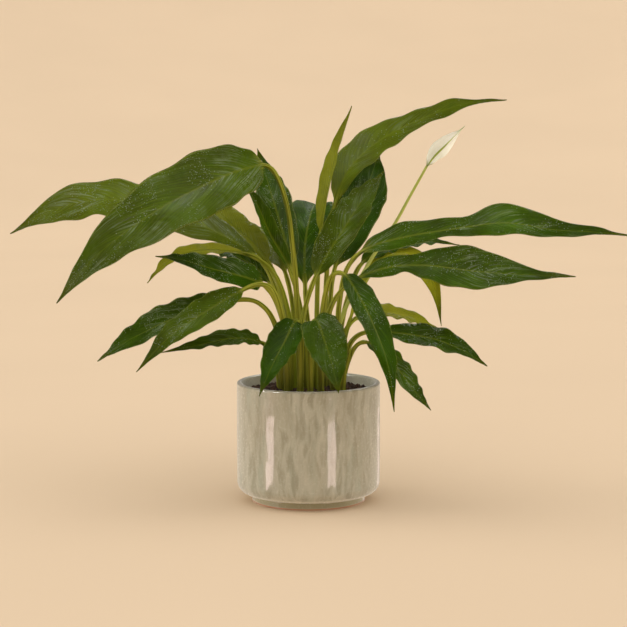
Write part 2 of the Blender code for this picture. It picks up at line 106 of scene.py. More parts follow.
LEAVES = (
    Leaf("leaf_left_large",
         ((-7, -9, 100), (-10, -10, 165), (-14, -20, 240), (-22, -34, 300), (-37, -48, 333),
          (-62, -58, 332), (-100, -70, 317), (-150, -85, 290), (-200, -100, 252), (-237, -110, 208)),
         4.2, 35, (0.1, -0.75, 0.65), (-0.1, -0.9, 0.4), fold=8, wave=2.5, far=0.95, tone=0.3, spots=0.9),
    Leaf("leaf_left_back",
         ((-18, 7, 100), (-22, 9, 160), (-31, 14, 202), (-46, 24, 234), (-70, 36, 252), (-115, 56, 273),
          (-165, 74, 290), (-215, 86, 295), (-265, 92, 284), (-312, 95, 259)),
         3.2, 27, (0.0, -0.6, 0.8), (-0.1, -0.7, 0.7), fold=8, wave=2.5, far=1.5, tone=0.42, spots=0.7,
         bulges=((0.82, 0.3),)),
    Leaf("leaf_left_hidden",
         ((-18, 18, 100), (-21, 22, 160), (-29, 34, 208), (-50, 52, 246), (-76, 70, 268),
          (-100, 86, 288), (-132, 105, 304)),
         2.6, 18, (0.0, -0.4, 0.9), (0.0, -0.3, 0.9), tone=0.75),
    Leaf("leaf_back_left",
         ((-9, 23, 100), (-13, 30, 160), (-20, 50, 208), (-34, 95, 244), (-44, 135, 258),
          (-56, 175, 260), (-72, 215, 244)),
         2.3, 25, (0.0, -0.6, 0.8), (0.0, 0.3, 0.9), tone=0.5),
    Leaf("leaf_left_narrow",
         ((-4, 3, 100), (-4, 3, 155), (-9, 4, 195), (-20, 5, 232), (-38, 7, 264), (-50, 8, 292),
          (-66, 10, 320)),
         2.9, 9, (0.5, -0.8, 0.3), (0.5, -0.8, 0.3), fold=38, wave=0.8),
    Leaf("leaf_upper_left",
         ((-7, 13, 100), (-8, 14, 155), (-12, 18, 200), (-19, 25, 240), (-34, 46, 290), (-43, 62, 318),
          (-53, 80, 348)),
         2.8, 18, (0.2, -0.9, 0.3), (0.3, -0.9, 0.3), tone=0.15, spots=0.8),
    Leaf("leaf_back_centre",
         ((3, 13, 100), (1, 16, 155), (-3, 28, 200), (-4, 62, 246), (2, 112, 278), (8, 155, 286),
          (14, 205, 266)),
         2.2, 25, (0.0, -0.7, 0.7), (0.1, 0.2, 0.95), tone=0.1),
    Leaf("leaf_spear",
         ((6, -4, 100), (8, 0, 160), (9, 5, 214), (12, 10, 264), (19, 14, 308), (30, 16, 352),
          (43, 18, 392)),
         3.0, 12, (-0.9, -0.45, 0.1), (-0.85, -0.5, 0.2), fold=30, wave=0.8, tone=0.75, spots=0.1),
    Leaf("leaf_upper_right",
         ((16, 5, 100), (16, 10, 160), (18, 16, 218), (22, 24, 268), (37, 34, 322), (68, 50, 354),
          (114, 72, 378), (164, 92, 394), (207, 112, 398)),
         3.4, 19, (-0.6, -0.75, 0.3), (0.0, -0.6, 0.8), far=0.9, tone=0.42, spots=0.3,
         bulges=((0.25, 0.2), (0.56, -0.25), (0.85, -0.3))),
    Leaf("leaf_right_broad",
         ((18, 15, 100), (20, 20, 155), (22, 28, 195), (28, 42, 232), (50, 70, 284), (63, 90, 314),
          (74, 112, 344)),
         2.9, 27, (-0.2, -0.8, 0.5), (-0.2, -0.8, 0.4), tone=0.05),
    Leaf("leaf_right_inner",
         ((-7, -21, 100), (-9, -22, 150), (-4, -18, 190), (10, -10, 230), (36, 1, 272), (55, 14, 300),
          (76, 28, 327)),
         2.8, 19, (-0.3, -0.85, 0.4), (-0.3, -0.8, 0.5), fold=24, tone=0.3, spots=0.9),
    Leaf("leaf_right_long",
         ((24, -3, 100), (28, -6, 155), (31, -10, 200), (39, -16, 234), (60, -23, 254), (100, -34, 266),
          (145, -45, 274), (190, -53, 280), (235, -60, 274), (277, -66, 272), (309, -70, 269)),
         3.6, 21, (-0.1, -0.7, 0.7), (0.0, -0.6, 0.8), wave=3.0, far=1.0, tone=0.2, spots=0.6,
         bulges=((0.36, -0.42), (0.56, 0.16), (0.78, -0.25))),
    Leaf("leaf_right_second",
         ((11, -19, 100), (15, -23, 155), (19, -27, 185), (29, -33, 208), (48, -41, 225), (80, -50, 237),
          (118, -60, 239), (165, -69, 234), (212, -78, 232), (255, -85, 231)),
         3.9, 20, (-0.1, -0.8, 0.6), (0.0, -0.8, 0.6), wave=2.4, far=1.3, tone=0.2, spots=0.6,
         bulges=((0.3, -0.4), (0.55, 0.22), (0.85, -0.4))),
    Leaf("leaf_right_small",
         ((23, 33, 100), (31, 41, 155), (40, 54, 195), (54, 76, 228), (85, 106, 244), (124, 130, 248),
          (162, 150, 243)),
         3.0, 12, (0.0, -0.6, 0.8), (0.0, -0.4, 0.9)),
    Leaf("leaf_right_arching",
         ((32, 9, 100), (34, 16, 140), (39, 26, 166), (49, 42, 194), (68, 70, 224), (92, 96, 238),
          (116, 116, 227), (134, 126, 198), (142, 132, 157)),
         2.3, 16, (-0.5, 0.5, 0.7), (0.2, -1.2, 0.4), tone=0.95, spots=0.1, slot="light_leaf"),
    Leaf("leaf_right_droop",
         ((13, -30, 100), (12, -33, 155), (15, -41, 201), (23, -51, 228), (35, -59, 230), (48, -68, 212),
          (63, -80, 183), (76, -92, 147), (82, -102, 103)),
         3.9, 16, (0.4, -0.7, 0.6), (0.5, -0.85, 0.2), wave=1.5, tone=0.1, spots=0.5),
    Leaf("leaf_right_low_droop",
         ((32, -19, 100), (36, -21, 130), (44, -30, 153), (54, -39, 162), (68, -46, 157), (87, -54, 138),
          (104, -62, 116), (119, -68, 99)),
         3.2, 13, (0.3, -0.5, 0.8), (0.4, -0.8, 0.4), wave=1.5, spots=0.7),
    Leaf("leaf_right_low",
         ((34, -8, 100), (36, -8, 135), (43, -11, 159), (60, -13, 169), (91, -18, 168), (125, -25, 163),
          (152, -31, 153), (176, -38, 138)),
         3.4, 16, (0.0, -0.6, 0.8), (0.2, -0.6, 0.8), tone=0.2),
    Leaf("leaf_right_light",
         ((30, 21, 100), (31, 29, 135), (37, 38, 162), (51, 52, 176), (79, 68, 178), (112, 86, 169),
          (145, 100, 153)),
         3.2, 16, (0.0, -0.4, 0.9), (0.2, -0.4, 0.9), tone=0.95, spots=0.0, slot="light_leaf"),
    Leaf("leaf_front_left_droop",
         ((-9, -31, 100), (-7, -37, 150), (-8, -46, 178), (-13, -56, 184), (-22, -68, 168),
          (-34, -80, 146), (-47, -94, 117)),
         2.8, 17, (-0.2, -0.8, 0.6), (-0.3, -0.9, 0.3), tone=0.06, spots=0.25),
    Leaf("leaf_front_right_droop",
         ((2, -34, 100), (2, -42, 150), (3, -51, 177), (8, -61, 186), (15, -75, 170), (23, -89, 146),
          (29, -101, 121)),
         2.6, 21, (0.1, -0.8, 0.6), (0.2, -0.9, 0.35), tone=0.2, spots=0.9),
    Leaf("leaf_left_middle",
         ((-19, -16, 100), (-20, -24, 152), (-27, -32, 188), (-40, -40, 215), (-62, -49, 227),
          (-93, -60, 236), (-119, -69, 245), (-146, -78, 250)),
         3.2, 17, (0.0, -0.75, 0.65), (0.0, -0.6, 0.8), far=0.8, tone=0.1, spots=0.9),
    Leaf("leaf_left_low_front",
         ((-21, -27, 100), (-22, -37, 154), (-26, -46, 190), (-34, -54, 214), (-46, -61, 221),
          (-64, -68, 216), (-96, -80, 198), (-130, -93, 176), (-163, -106, 142)),
         4.9, 15, (-0.1, -0.8, 0.6), (-0.2, -0.8, 0.5), tone=0.3, spots=0.8),
    Leaf("leaf_left_low_back",
         ((-27, -7, 100), (-27, -14, 146), (-32, -19, 174), (-43, -24, 194), (-61, -30, 203),
          (-92, -38, 198), (-135, -50, 185), (-173, -60, 167), (-204, -68, 147)),
         4.4, 20, (-0.1, -0.6, 0.75), (-0.2, -0.6, 0.7), tone=0.2, spots=0.9),
    Leaf("leaf_left_lowest",
         ((-28, 5, 100), (-31, 2, 130), (-38, -4, 150), (-53, -11, 160), (-77, -18, 163),
          (-108, -30, 158), (-145, -42, 152)),
         2.6, 12, (0.0, -0.6, 0.8), (0.0, -0.5, 0.85), tone=0.25),
    Leaf("leaf_left_light",
         ((-15, -3, 100), (-16, -5, 155), (-22, -9, 195), (-34, -13, 227), (-56, -18, 245),
          (-85, -24, 251), (-117, -32, 250), (-141, -40, 238), (-157, -46, 221)),
         4.2, 12, (0.0, -0.4, 0.9), (-0.3, -0.3, 0.9), tone=0.9, spots=0.1, slot="light_leaf"),
    Leaf("leaf_back_left_low",
         ((-20, 28, 100), (-22, 32, 155), (-30, 44, 190), (-42, 60, 214), (-62, 78, 230),
          (-88, 98, 240), (-118, 118, 246)),
         2.8, 18, (0.0, -0.4, 0.9), (0.0, -0.3, 0.9)),
)

SCAPE_SPINE = ((13, 23, 100), (22, 25, 140), (38, 35, 188), (62, 54, 232), (88, 67, 270), (105, 74, 300),
               (122, 78, 330))
SPATHE_SPINE = ((122.3, 76.8, 330.6), (130, 72, 341), (140, 71, 351), (151, 75, 362), (161, 82, 371))
SPATHE_FACE = (-0.1, 0.97, 0.1)
SPATHE_CUP = math.radians(62)
SPATHE_BODY = 0.00045
SPATHE_KEEL = 0.0011
SCAPE_RADIUS = 0.0024
SCAPE_END_RADIUS = 0.0013
SPADIX_LENGTH = 0.026
SPADIX_RADIUS = 0.0028
SPADIX_ROWS = 26
KNOB_HEIGHT = 0.00042

BARK_CHIPS = 130

FLOOR_REACH = 3.0
FLOOR_BEND = 12.0
SUN_COLOR = (1.0, 0.97, 0.915)
PANEL_COLOR = (1.0, 0.97, 0.94)
STRIP_COLOR = (1.0, 0.76, 0.74)
STRIP_DISTANCE = 1.5
STRIP_TOP = -0.15
CAMERA_ASIDE = 0.005


# ---------------------------------------------------------------- settings

def color_setting(name, description, default):
    return bpy.props.FloatVectorProperty(
        name=name, description=description, subtype="COLOR", size=3, min=0, max=1, default=default)


def length_setting(name, description, default, least=0.0005):
    return bpy.props.FloatProperty(
        name=name, description=description, default=default, min=least, unit="LENGTH")


class PotSettings(bpy.types.PropertyGroup):
    glaze: color_setting("Glaze", "Main colour of the glaze", (0.45, 0.435, 0.345))
    glaze_streak: color_setting("Glaze streaks", "Darker colour that runs down the wall", (0.315, 0.3, 0.215))
    ripple: length_setting("Ripple", "Depth of the upright ripples in the wall", 0.0002, 0.0)
    wall: length_setting("Wall", "Thickness of the wall", 0.0055, 0.001)


class SoilSettings(bpy.types.PropertyGroup):
    color: color_setting("Soil", "Colour of the potting mix", (0.03, 0.016, 0.01))
    crumbs: bpy.props.IntProperty(
        name="Crumbs", description="Loose crumbs on the surface", default=900, min=0)
    crumb_size: length_setting("Crumb size", "Radius of the largest crumbs", 0.0026)


class LeafSettings(bpy.types.PropertyGroup):
    dark: color_setting("Dark green", "Darkest green of a blade's top", (0.013, 0.042, 0.0002))
    green: color_setting("Leaf green", "Main green of a blade's top", (0.031, 0.11, 0.0003))
    light: color_setting("Light green", "Green of young and pale leaves", (0.7, 0.68, 0.045))
    under: color_setting("Underside", "Green of a blade's underside", (0.17, 0.19, 0.03))
    stalk: color_setting("Stalk", "Green of the leaf stalks", (0.58, 0.6, 0.07))
    stalk_radius: length_setting("Stalk radius", "Radius of a leaf stalk at the soil", 0.0033)
    stalk_end_radius: length_setting("Stalk end radius", "Radius of a leaf stalk at its blade", 0.0021)
    thickness: length_setting("Blade thickness", "Thickness of a blade", 0.0005, 0.0001)
    quilting: length_setting("Quilting", "How far a blade swells between its side veins", 0.0009, 0.0)


class FlowerSettings(bpy.types.PropertyGroup):
    spathe: color_setting("Hood", "White of the flower's hood", (0.99, 0.98, 0.93))
    spadix: color_setting("Spike", "Cream of the flower's spike", (0.66, 0.62, 0.3))
    half_width: length_setting("Hood half width", "Half of the hood's greatest width", 0.011, 0.001)


class StageSettings(bpy.types.PropertyGroup):
    floor: color_setting("Floor", "Colour of the floor and backdrop", (0.775, 0.605, 0.43))
    focal_length: bpy.props.FloatProperty(
        name="Focal length", description="Focal length of the camera in millimetres", default=109.8, min=10)
    distance: length_setting("Distance", "Camera's distance in front of the pot", 1.9, 0.3)
    height: length_setting("Camera height", "Camera's height above the floor", 0.405, 0.0)
    tilt: bpy.props.FloatProperty(
        name="Tilt", description="How far the camera looks down", default=math.radians(6.5), subtype="ANGLE")


# ---------------------------------------------------------------- mesh helpers

def link(name, mesh, slot, *nodes):
    """An object of a finished mesh, riding on the body in place of the frame's nodes."""
    obj = bpy.data.objects.new(name, mesh)
    bpy.context.scene.collection.objects.link(obj)
    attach(obj, "root")
    if nodes:
        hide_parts(*nodes)
    return obj


def mesh_of(name, bm, material, crease):
    """A smooth mesh with edges sharper than the crease, in degrees, kept sharp."""
    mesh = bpy.data.meshes.new(name)
    bm.to_mesh(mesh)
    bm.free()
    mesh.shade_smooth()
    mesh.set_sharp_from_angle(angle=math.radians(crease))
    mesh.materials.append(material)
    return mesh


def arc(center, radius, start, end, steps):
    """Points from start to end, both in degrees."""
    points = []
    for i in range(steps + 1):
        angle = math.radians(start + (end - start) * i / steps)
        points.append((center[0] + radius * math.cos(angle), center[1] + radius * math.sin(angle)))
    return points


def line(start, end, steps):
    """Points after start up to and with end."""
    return [(start[0] + (end[0] - start[0]) * i / steps, start[1] + (end[1] - start[1]) * i / steps)
            for i in range(1, steps + 1)]


def turned(profile, steps):
    """A closed body turned about Z from a profile that starts and ends on the axis."""
    bm = bmesh.new()
    verts = [bm.verts.new((r, 0.0, z)) for r, z in profile]
    edges = [bm.edges.new(pair) for pair in zip(verts, verts[1:])]
    bmesh.ops.spin(bm, geom=verts + edges, cent=(0, 0, 0), axis=(0, 0, 1), angle=math.tau, steps=steps,
                   use_merge=True)
    bmesh.ops.remove_doubles(bm, verts=bm.verts, dist=1e-6)
    bmesh.ops.dissolve_degenerate(bm, edges=bm.edges, dist=1e-7)
    bmesh.ops.recalc_face_normals(bm, faces=bm.faces)
    return bm


def tube_template(rings, around):
    """A closed cylinder, one high and one in radius, with rings along it."""
    bm = bmesh.new()
    bmesh.ops.create_cone(bm, cap_ends=True, segments=around, radius1=1.0, radius2=1.0, depth=1.0)
    upright = [e for e in bm.edges if abs(e.verts[0].co.z - e.verts[1].co.z) > 0.5]
    bmesh.ops.subdivide_edges(bm, edges=upright, cuts=rings - 1, use_grid_fill=True)
    bmesh.ops.recalc_face_normals(bm, faces=bm.faces)
    mesh = bpy.data.meshes.new("tube_template")
    bm.to_mesh(mesh)
    bm.free()
    return mesh


def template_places(mesh):
    """Each vertex's angle round the cylinder and its share along it."""
    places = np.empty(len(mesh.vertices) * 3)
    mesh.vertices.foreach_get("co", places)
    places = places.reshape(-1, 3)
    angle = np.arctan2(places[:, 1], places[:, 0]) % math.tau
    angle[angle > math.tau - 1e-4] = 0.0
    return angle, np.clip(places[:, 2] + 0.5, 0.0, 1.0)


def placed(spine):
    """A spine's points in metres, with its foot where the frame's stalks start."""
    return (np.array(spine, float) - (0.0, 0.0, SPINE_FOOT)) * MM + (0.0, 0.0, STALK_FOOT)


def curve_points(points, t):
    """Places on the smooth curve through the points; t counts the points from 0."""
    points = np.vstack((2 * points[0] - points[1], points, 2 * points[-1] - points[-2]))
    i = np.clip(t.astype(int), 0, len(points) - 4)
    u = (t - i)[:, None]
    p0, p1, p2, p3 = points[i], points[i + 1], points[i + 2], points[i + 3]
    return 0.5 * (2 * p1 + (p2 - p0) * u + (2 * p0 - 5 * p1 + 4 * p2 - p3) * u ** 2
                  + (3 * p1 - p0 - 3 * p2 + p3) * u ** 3)


def outline_at(outline, share):
    """The height of a smooth curve through the outline's points at each share of its length."""
    table = np.array(outline)
    t = np.interp(share, table[:, 0], np.arange(len(table)))
    heights = np.zeros((len(table), 3))
    heights[:, 2] = table[:, 1]
    return np.maximum(curve_points(heights, t)[:, 2], outline[-1][1])


def unit(vectors):
    return vectors / np.linalg.norm(vectors, axis=1)[:, None]


def smooth_step(low, high, value):
    x = np.clip((value - low) / (high - low), 0.0, 1.0)
    return x * x * (3 - 2 * x)


def sides(angle):
    """Each point's place across a thin body, 1 at one margin and -1 at the other, and whether it is under."""
    half_turn = np.where(angle <= math.pi, angle, math.tau - angle)
    return 1 - 2 * half_turn / math.pi, angle > UNDERSIDE_ANGLE


def set_places(mesh, places):
    mesh.vertices.foreach_set("co", places.astype(np.float32).ravel())
    mesh.update()
    mesh.shade_smooth()


def bend(mesh, frames, x, y):
    """Each vertex of the mesh moved to its place across the spine."""
    center, side, top = frames
    set_places(mesh, center + side * x[:, None] + top * y[:, None])


def spine_frames(spine, t, faces):
    """Centre, sideways and top directions at places along a spine."""
    step = 0.03
    last = len(spine) - 1
    ahead = curve_points(spine, np.minimum(t + step, last))
    direction = unit(ahead - curve_points(spine, np.maximum(t - step, 0)))
    top = unit(faces - direction * np.sum(faces * direction, axis=1)[:, None])
    return curve_points(spine, t), np.cross(direction, top), top


def distance_along(spine, t):
    """The length of the spine from its foot to each place."""
    samples = np.linspace(0, len(spine) - 1, CURVE_SAMPLES)
    points = curve_points(spine, samples)
    run = np.concatenate(([0.0], np.cumsum(np.linalg.norm(np.diff(points, axis=0), axis=1))))
    return np.interp(t, samples, run)


def set_vectors(mesh, name, x, y, z):
    layer = mesh.attributes.new(name, "FLOAT_VECTOR", "POINT")
    layer.data.foreach_set("vector", np.column_stack((x, y, z)).astype(np.float32).ravel())


def set_uv(mesh, u, v):
    corners = np.empty(len(mesh.loops), int)
    mesh.loops.foreach_get("vertex_index", corners)
    layer = mesh.uv_layers.new(name="UVMap")
    layer.data.foreach_set("uv", np.column_stack((u[corners], v[corners])).astype(np.float32).ravel())


# ---------------------------------------------------------------- leaf shape

def ripples(share, seed, count):
    """An uneven wave along a margin, between about -1 and 1."""
    rng = random.Random(seed)
    total = np.zeros_like(share)
    for _ in range(count):
        wave = np.sin(math.tau * (share * rng.uniform(2.0, 8.5) + rng.random()))
        total += wave * rng.uniform(0.4, 1.0)
    return total / count


def shape_leaf(spec, settings, template, angle, share, seed):
    """The template bent into a leaf: a round stalk that opens into a veined blade."""
    spine = placed(spec.spine)
    last = len(spine) - 1
    on_blade = share >= STALK_SHARE
    stalk_part = np.clip(share / STALK_SHARE, 0, 1)
    blade_part = np.clip((share - STALK_SHARE) / (1 - STALK_SHARE), 0, 1)
    t = np.where(on_blade, spec.blade_from + (last - spec.blade_from) * blade_part,
                 spec.blade_from * stalk_part)
    face_base = np.array(spec.face_base)
    faces = face_base + (np.array(spec.face_tip) - face_base) * blade_part[:, None]
    run = distance_along(spine, t)
    blade_start = distance_along(spine, np.array([float(spec.blade_from)]))[0]
    blade_length = distance_along(spine, np.array([float(last)]))[0] - blade_start

    # Points crowd towards the rib, where the blade curves most
    even, is_under = sides(angle)
    across = even * (0.62 + 0.38 * np.abs(even))
    at_margin = np.abs(even) > 1 - 1e-6

    # The round stalk, a little flat, with a faint swelling below the blade
    radius = settings.stalk_radius + (settings.stalk_end_radius - settings.stalk_radius) * stalk_part
    radius = radius * (1 + 0.16 * np.exp(-((stalk_part - 0.93) / 0.05) ** 2))
    stalk_x = radius * np.cos(angle)
    stalk_y = radius * np.sin(angle) * 0.92
    channel = np.exp(-(np.cos(angle) / 0.35) ** 2) * (np.sin(angle) > 0)
    stalk_y = stalk_y - radius * 0.22 * channel * smooth_step(0.1, 0.5, stalk_part)

    # The thin blade
    largest = spec.half_width * MM
    width = largest * outline_at(BLADE_OUTLINE, blade_part ** spec.far)
    for place, amount in spec.bulges:
        width = width * (1 + amount * np.exp(-((blade_part - place) / BULGE_REACH) ** 2))
    left = across < 0
    uneven = np.where(left, ripples(blade_part, seed, 4), ripples(blade_part, seed + 50, 4))
    width = width * (1 + UNEVEN_WIDTH * uneven)
    blade_x = across * width
    rise = math.tan(math.radians(spec.fold))
    valley = 0.08
    lift = rise * width * (np.sqrt(across ** 2 + valley ** 2) - valley)
    lift = lift - 0.22 * rise * width * across ** 4
    swell = np.sin(math.pi * np.clip(blade_part, 0, 1)) ** 0.7
    wave = np.where(left, ripples(blade_part, seed + 7, 5), ripples(blade_part, seed + 70, 5))
    lift = lift + spec.wave * MM * 2.3 * swell * wave * np.abs(across) ** 1.8
    pitch = max(LEAST_VEIN_PITCH, blade_length / VEINS_ALONG)
    vein = (blade_part * blade_length - largest * (1.5 * np.abs(across) + 1.2 * across ** 2)) / pitch
    fade = (1 - across ** 8) * smooth_step(0.02, 0.3, np.abs(across)) * smooth_step(0.02, 0.15, blade_part)
    furrow = (0.5 + 0.5 * np.cos(math.tau * vein)) ** 3
    scale = min(1.0, largest / FULL_HALF_WIDTH)
    lift = lift - settings.quilting * scale * furrow * fade
    fine = np.array([noise.noise(Vector((a * 1.6, b * 9.0, seed * 3.1))) for a, b in zip(across, blade_part)])
    lift = lift + FINE_RELIEF * scale * fine * swell * (0.3 + 0.7 * np.abs(across))
    body = settings.thickness * (1 - 0.75 * across ** 6)
    rib = np.exp(-(blade_x / RIB_REACH) ** 2) * (1 - blade_part) ** 0.6
    blade_y = np.where(is_under, lift - body / 2 - KEEL_DEPTH * rib, lift + body / 2 - GROOVE_DEPTH * rib)
    blade_y = np.where(at_margin, lift, blade_y)

    opened = smooth_step(0.0, 0.07, blade_part) * on_blade
    x = stalk_x + (blade_x - stalk_x) * opened
    y = stalk_y + (blade_y - stalk_y) * opened

    mesh = template.copy()
    mesh.name = spec.name + "_shape"
    along = np.where(on_blade, blade_part, stalk_part - 1)
    set_vectors(mesh, "blade", across, along, vein)
    under = np.where(is_under, 1.0, 0.0)
    set_vectors(mesh, "look", under, np.full_like(under, spec.tone), np.full_like(under, spec.spots))
    set_uv(mesh, x, run)
    bend(mesh, spine_frames(spine, t, faces), x, y)
    return mesh


# ---------------------------------------------------------------- material helpers

class Nodes:
    """Short calls for the nodes of one material."""

    def __init__(self, name):
        self.material = bpy.data.materials.new(name)
        self.material.use_nodes = True
        self.tree = self.material.node_tree
        self.shader = self.tree.nodes["Principled BSDF"]
        self.output = self.tree.nodes["Material Output"]

    def add(self, kind, *inputs, **values):
        """A node with its first inputs filled in order and its properties set."""
        node = self.tree.nodes.new("ShaderNode" + kind)
        for key, value in values.items():
            setattr(node, key, value)
        for index, value in enumerate(inputs):
            self.put(node, index, value)
        return node

    def put(self, node, place, value):
        """Fill one input, by number or by name, with a link or a value."""
        if value is None:
            return
        if isinstance(value, bpy.types.NodeSocket):
            self.tree.links.new(value, node.inputs[place])
            return
        if node.inputs[place].type == "RGBA":
            value = (*value, 1.0)
        node.inputs[place].default_value = value

    def named(self, kind, **inputs):
        """A node with the inputs of these names filled."""
        node = self.add(kind)
        for name, value in inputs.items():
            self.put(node, name, value)
        return node

    def math(self, operation, a, b=None, c=None):
        return self.add("Math", a, b, c, operation=operation).outputs[0]

    def times(self, a, b):
        return self.math("MULTIPLY", a, b)

    def plus(self, a, b):
        return self.math("ADD", a, b)

    def minus(self, a, b):
        return self.math("SUBTRACT", a, b)

    def size(self, a):
        return self.math("ABSOLUTE", a)

    def over(self, a, b):
        return self.math("DIVIDE", a, b)

    def mix(self, factor, a, b):
        """Two colours mixed; a Mix node keeps its factor at 0 and its colours at 6 and 7."""
        node = self.add("Mix", data_type="RGBA")
        for index, value in ((0, factor), (6, a), (7, b)):
            self.put(node, index, value)
        return node.outputs[2]

    def ramp(self, value, low, high, start=0.0, end=1.0):
        node = self.add("MapRange", value, low, high, start, end, interpolation_type="SMOOTHSTEP")
        return node.outputs[0]

    def attribute(self, name):
        node = self.add("Attribute", attribute_name=name)
        return self.add("SeparateXYZ", node.outputs["Vector"]).outputs

    def object_places(self):
        return self.add("TexCoord").outputs["Object"]

    def uv_places(self):
        return self.add("UVMap", uv_map="UVMap").outputs[0]

    def stretched(self, places, scale):
        return self.add("Mapping", places, None, None, scale).outputs[0]

    def noise(self, places, scale, detail=3.0, roughness=0.55, output=0):
        node = self.named("TexNoise", Vector=places, Scale=scale, Detail=detail, Roughness=roughness)
        return node.outputs[output]

    def cells(self, places, scale):
        node = self.named("TexVoronoi", Vector=places, Scale=scale)
        return node.outputs["Distance"], node.outputs["Color"]

    def bump(self, height, distance, strength):
        return self.named("Bump", Height=height, Distance=distance, Strength=strength).outputs[0]

    def finish(self, color, roughness, normal, specular=0.5, coat=0.0):
        inputs = {"Base Color": color, "Roughness": roughness, "Normal": normal,
                  "Specular IOR Level": specular, "Coat Weight": coat, "Coat Roughness": 0.04}
        for name, value in inputs.items():
            self.put(self.shader, name, value)
        return self.material

    def let_light_through(self, color, share):
        """Some of the light that falls on one side shows on the other."""
        thin = self.add("BsdfTranslucent", color)
        both = self.add("MixShader", share, self.shader.outputs[0], thin.outputs[0])
        self.tree.links.new(both.outputs[0], self.output.inputs["Surface"])


def line_mask(nodes, value, width):
    """1 on thin lines at each whole number of value, 0 between them."""
    part = nodes.math("FRACT", value)
    gap = nodes.size(nodes.minus(part, 0.5))
    return nodes.ramp(gap, 0.5 - width, 0.5)


# ---------------------------------------------------------------- materials

def leaf_material(settings):
    n = Nodes("glossy leaf")
    across, along, vein = n.attribute("blade")
    under, tone, spots = n.attribute("look")
    places = n.object_places()
    surface = n.uv_places()
    paleness = n.math("POWER", tone, 2.0)
    from_rib = n.size(across)
    patchy = n.noise(places, 26.0, 3.0)
    mottle = n.noise(places, 140.0, 4.0)
    side_vein = line_mask(n, vein, 0.16)
    between = line_mask(n, n.plus(vein, 0.5), 0.3)
    thin_vein = line_mask(n, n.times(vein, 3.0), 0.2)

    green = n.mix(n.ramp(patchy, 0.3, 0.72), settings.dark, settings.green)
    bright = n.mix(n.ramp(patchy, 0.3, 0.7, 0.7, 1.0), settings.green, settings.light)
    green = n.mix(paleness, green, bright)
    green = n.mix(n.times(between, 0.3), green, settings.dark)
    green = n.mix(n.ramp(mottle, 0.45, 0.8, 0.0, 0.35), green, settings.green)
    strength = n.ramp(patchy, 0.35, 0.65, 0.2, 0.6)
    vein_color = n.mix(paleness, (0.105, 0.215, 0.004), settings.light)
    green = n.mix(n.times(side_vein, strength), green, vein_color)
    green = n.mix(n.times(thin_vein, 0.15), green, vein_color)
    along_veins = n.add("CombineXYZ", n.times(vein, 2.3), n.times(across, 1.6)).outputs[0]
    grain = n.noise(along_veins, 1.0, 3.0)
    green = n.mix(n.ramp(grain, 0.48, 0.7, 0.0, 0.55), green, vein_color)
    green = n.mix(n.ramp(along, 0.84, 1.0, 0.0, 0.8), green, (0.19, 0.23, 0.012))

    pale = n.mix(n.ramp(patchy, 0.3, 0.7), settings.under, (0.1, 0.135, 0.015))
    pale = n.mix(n.ramp(tone, 0.5, 0.95), pale, settings.light)
    pale = n.mix(n.times(side_vein, 0.5), pale, (0.06, 0.075, 0.006))
    pale = n.mix(n.ramp(n.noise(places, 45.0, 4.0), 0.58, 0.8, 0.0, 0.3), pale, (0.22, 0.15, 0.05))
    color = n.mix(under, green, pale)

    ragged = n.times(n.minus(mottle, 0.5), 0.05)
    margin = n.ramp(n.plus(from_rib, ragged), 0.935, 0.975)
    color = n.mix(n.times(margin, 0.6), color, (0.4, 0.46, 0.07))

    rib_place = n.size(n.add("SeparateXYZ", surface).outputs[0])
    rib_reach = n.ramp(along, 0.0, 0.9, 0.0019, 0.0003)
    rib = n.ramp(n.over(rib_place, rib_reach), 1.0, 0.55)
    rib_color = n.mix(under, (0.17, 0.22, 0.012), (0.27, 0.27, 0.035))
    color = n.mix(n.times(rib, 0.65), color, rib_color)

    # Light and dark lengthwise streaks on the leaf stalks: partly their own streaking, partly painted
    # highlight and painted shade on the stalks' sides.
    streaks = n.noise(n.stretched(surface, (620.0, 14.0, 1.0)), 1.0, 2.0)
    stalk = n.mix(n.ramp(streaks, 0.42, 0.6), settings.stalk, (0.12, 0.155, 0.006))
    stalk = n.mix(n.ramp(along, -0.35, -0.9, 0.0, 0.5), stalk, (0.46, 0.44, 0.06))
    # Darker towards the soil: partly the brownish sheath, partly painted shade down among the stalks.
    stalk = n.mix(n.ramp(along, -0.72, -1.0, 0.0, 0.75), stalk, (0.09, 0.085, 0.02))
    on_stalk = n.ramp(along, 0.09, -0.01)
    color = n.mix(on_stalk, color, stalk)

    # Pale streaks along the veins: partly a dried water film, partly painted highlight streaks; with the
    # dried drops they give the bare top its pale marks.
    painted_sheen_streaks = n.ramp(n.noise(n.stretched(along_veins, (0.7, 0.9, 1.0)), 1.0, 4.0, 0.65), 0.5, 0.6)
    painted_sheen_streaks = n.times(painted_sheen_streaks, n.ramp(n.noise(places, 22.0, 2.0), 0.44, 0.6))
    painted_sheen_streaks = n.times(painted_sheen_streaks, n.times(spots, 0.62))
    specks_and_sheen = n.math("MAXIMUM", water_specks(n, places, spots), painted_sheen_streaks)
    bare = n.times(n.minus(1.0, under), n.minus(1.0, on_stalk))
    specks_and_sheen = n.times(specks_and_sheen, bare)
    color = n.mix(n.times(specks_and_sheen, 0.68), color, (0.5, 0.6, 0.34))

    height = n.plus(n.times(thin_vein, -0.4), n.times(side_vein, -0.9))
    height = n.plus(height, n.times(n.noise(places, 900.0, 2.0), 0.35))
    height = n.plus(height, n.times(grain, 1.7))
    normal = n.bump(height, 0.0005, 0.9)
    roughness = n.ramp(grain, 0.35, 0.65, 0.09, 0.2)
    roughness = n.plus(roughness, n.times(under, 0.25))
    roughness = n.plus(roughness, n.times(specks_and_sheen, 0.2))
    n.finish(color, roughness, normal, specular=0.1)
    n.let_light_through(n.mix(0.6, color, (0.28, 0.36, 0.006)), n.ramp(tone, 0.3, 0.9, 0.13, 0.42))
    return n.material


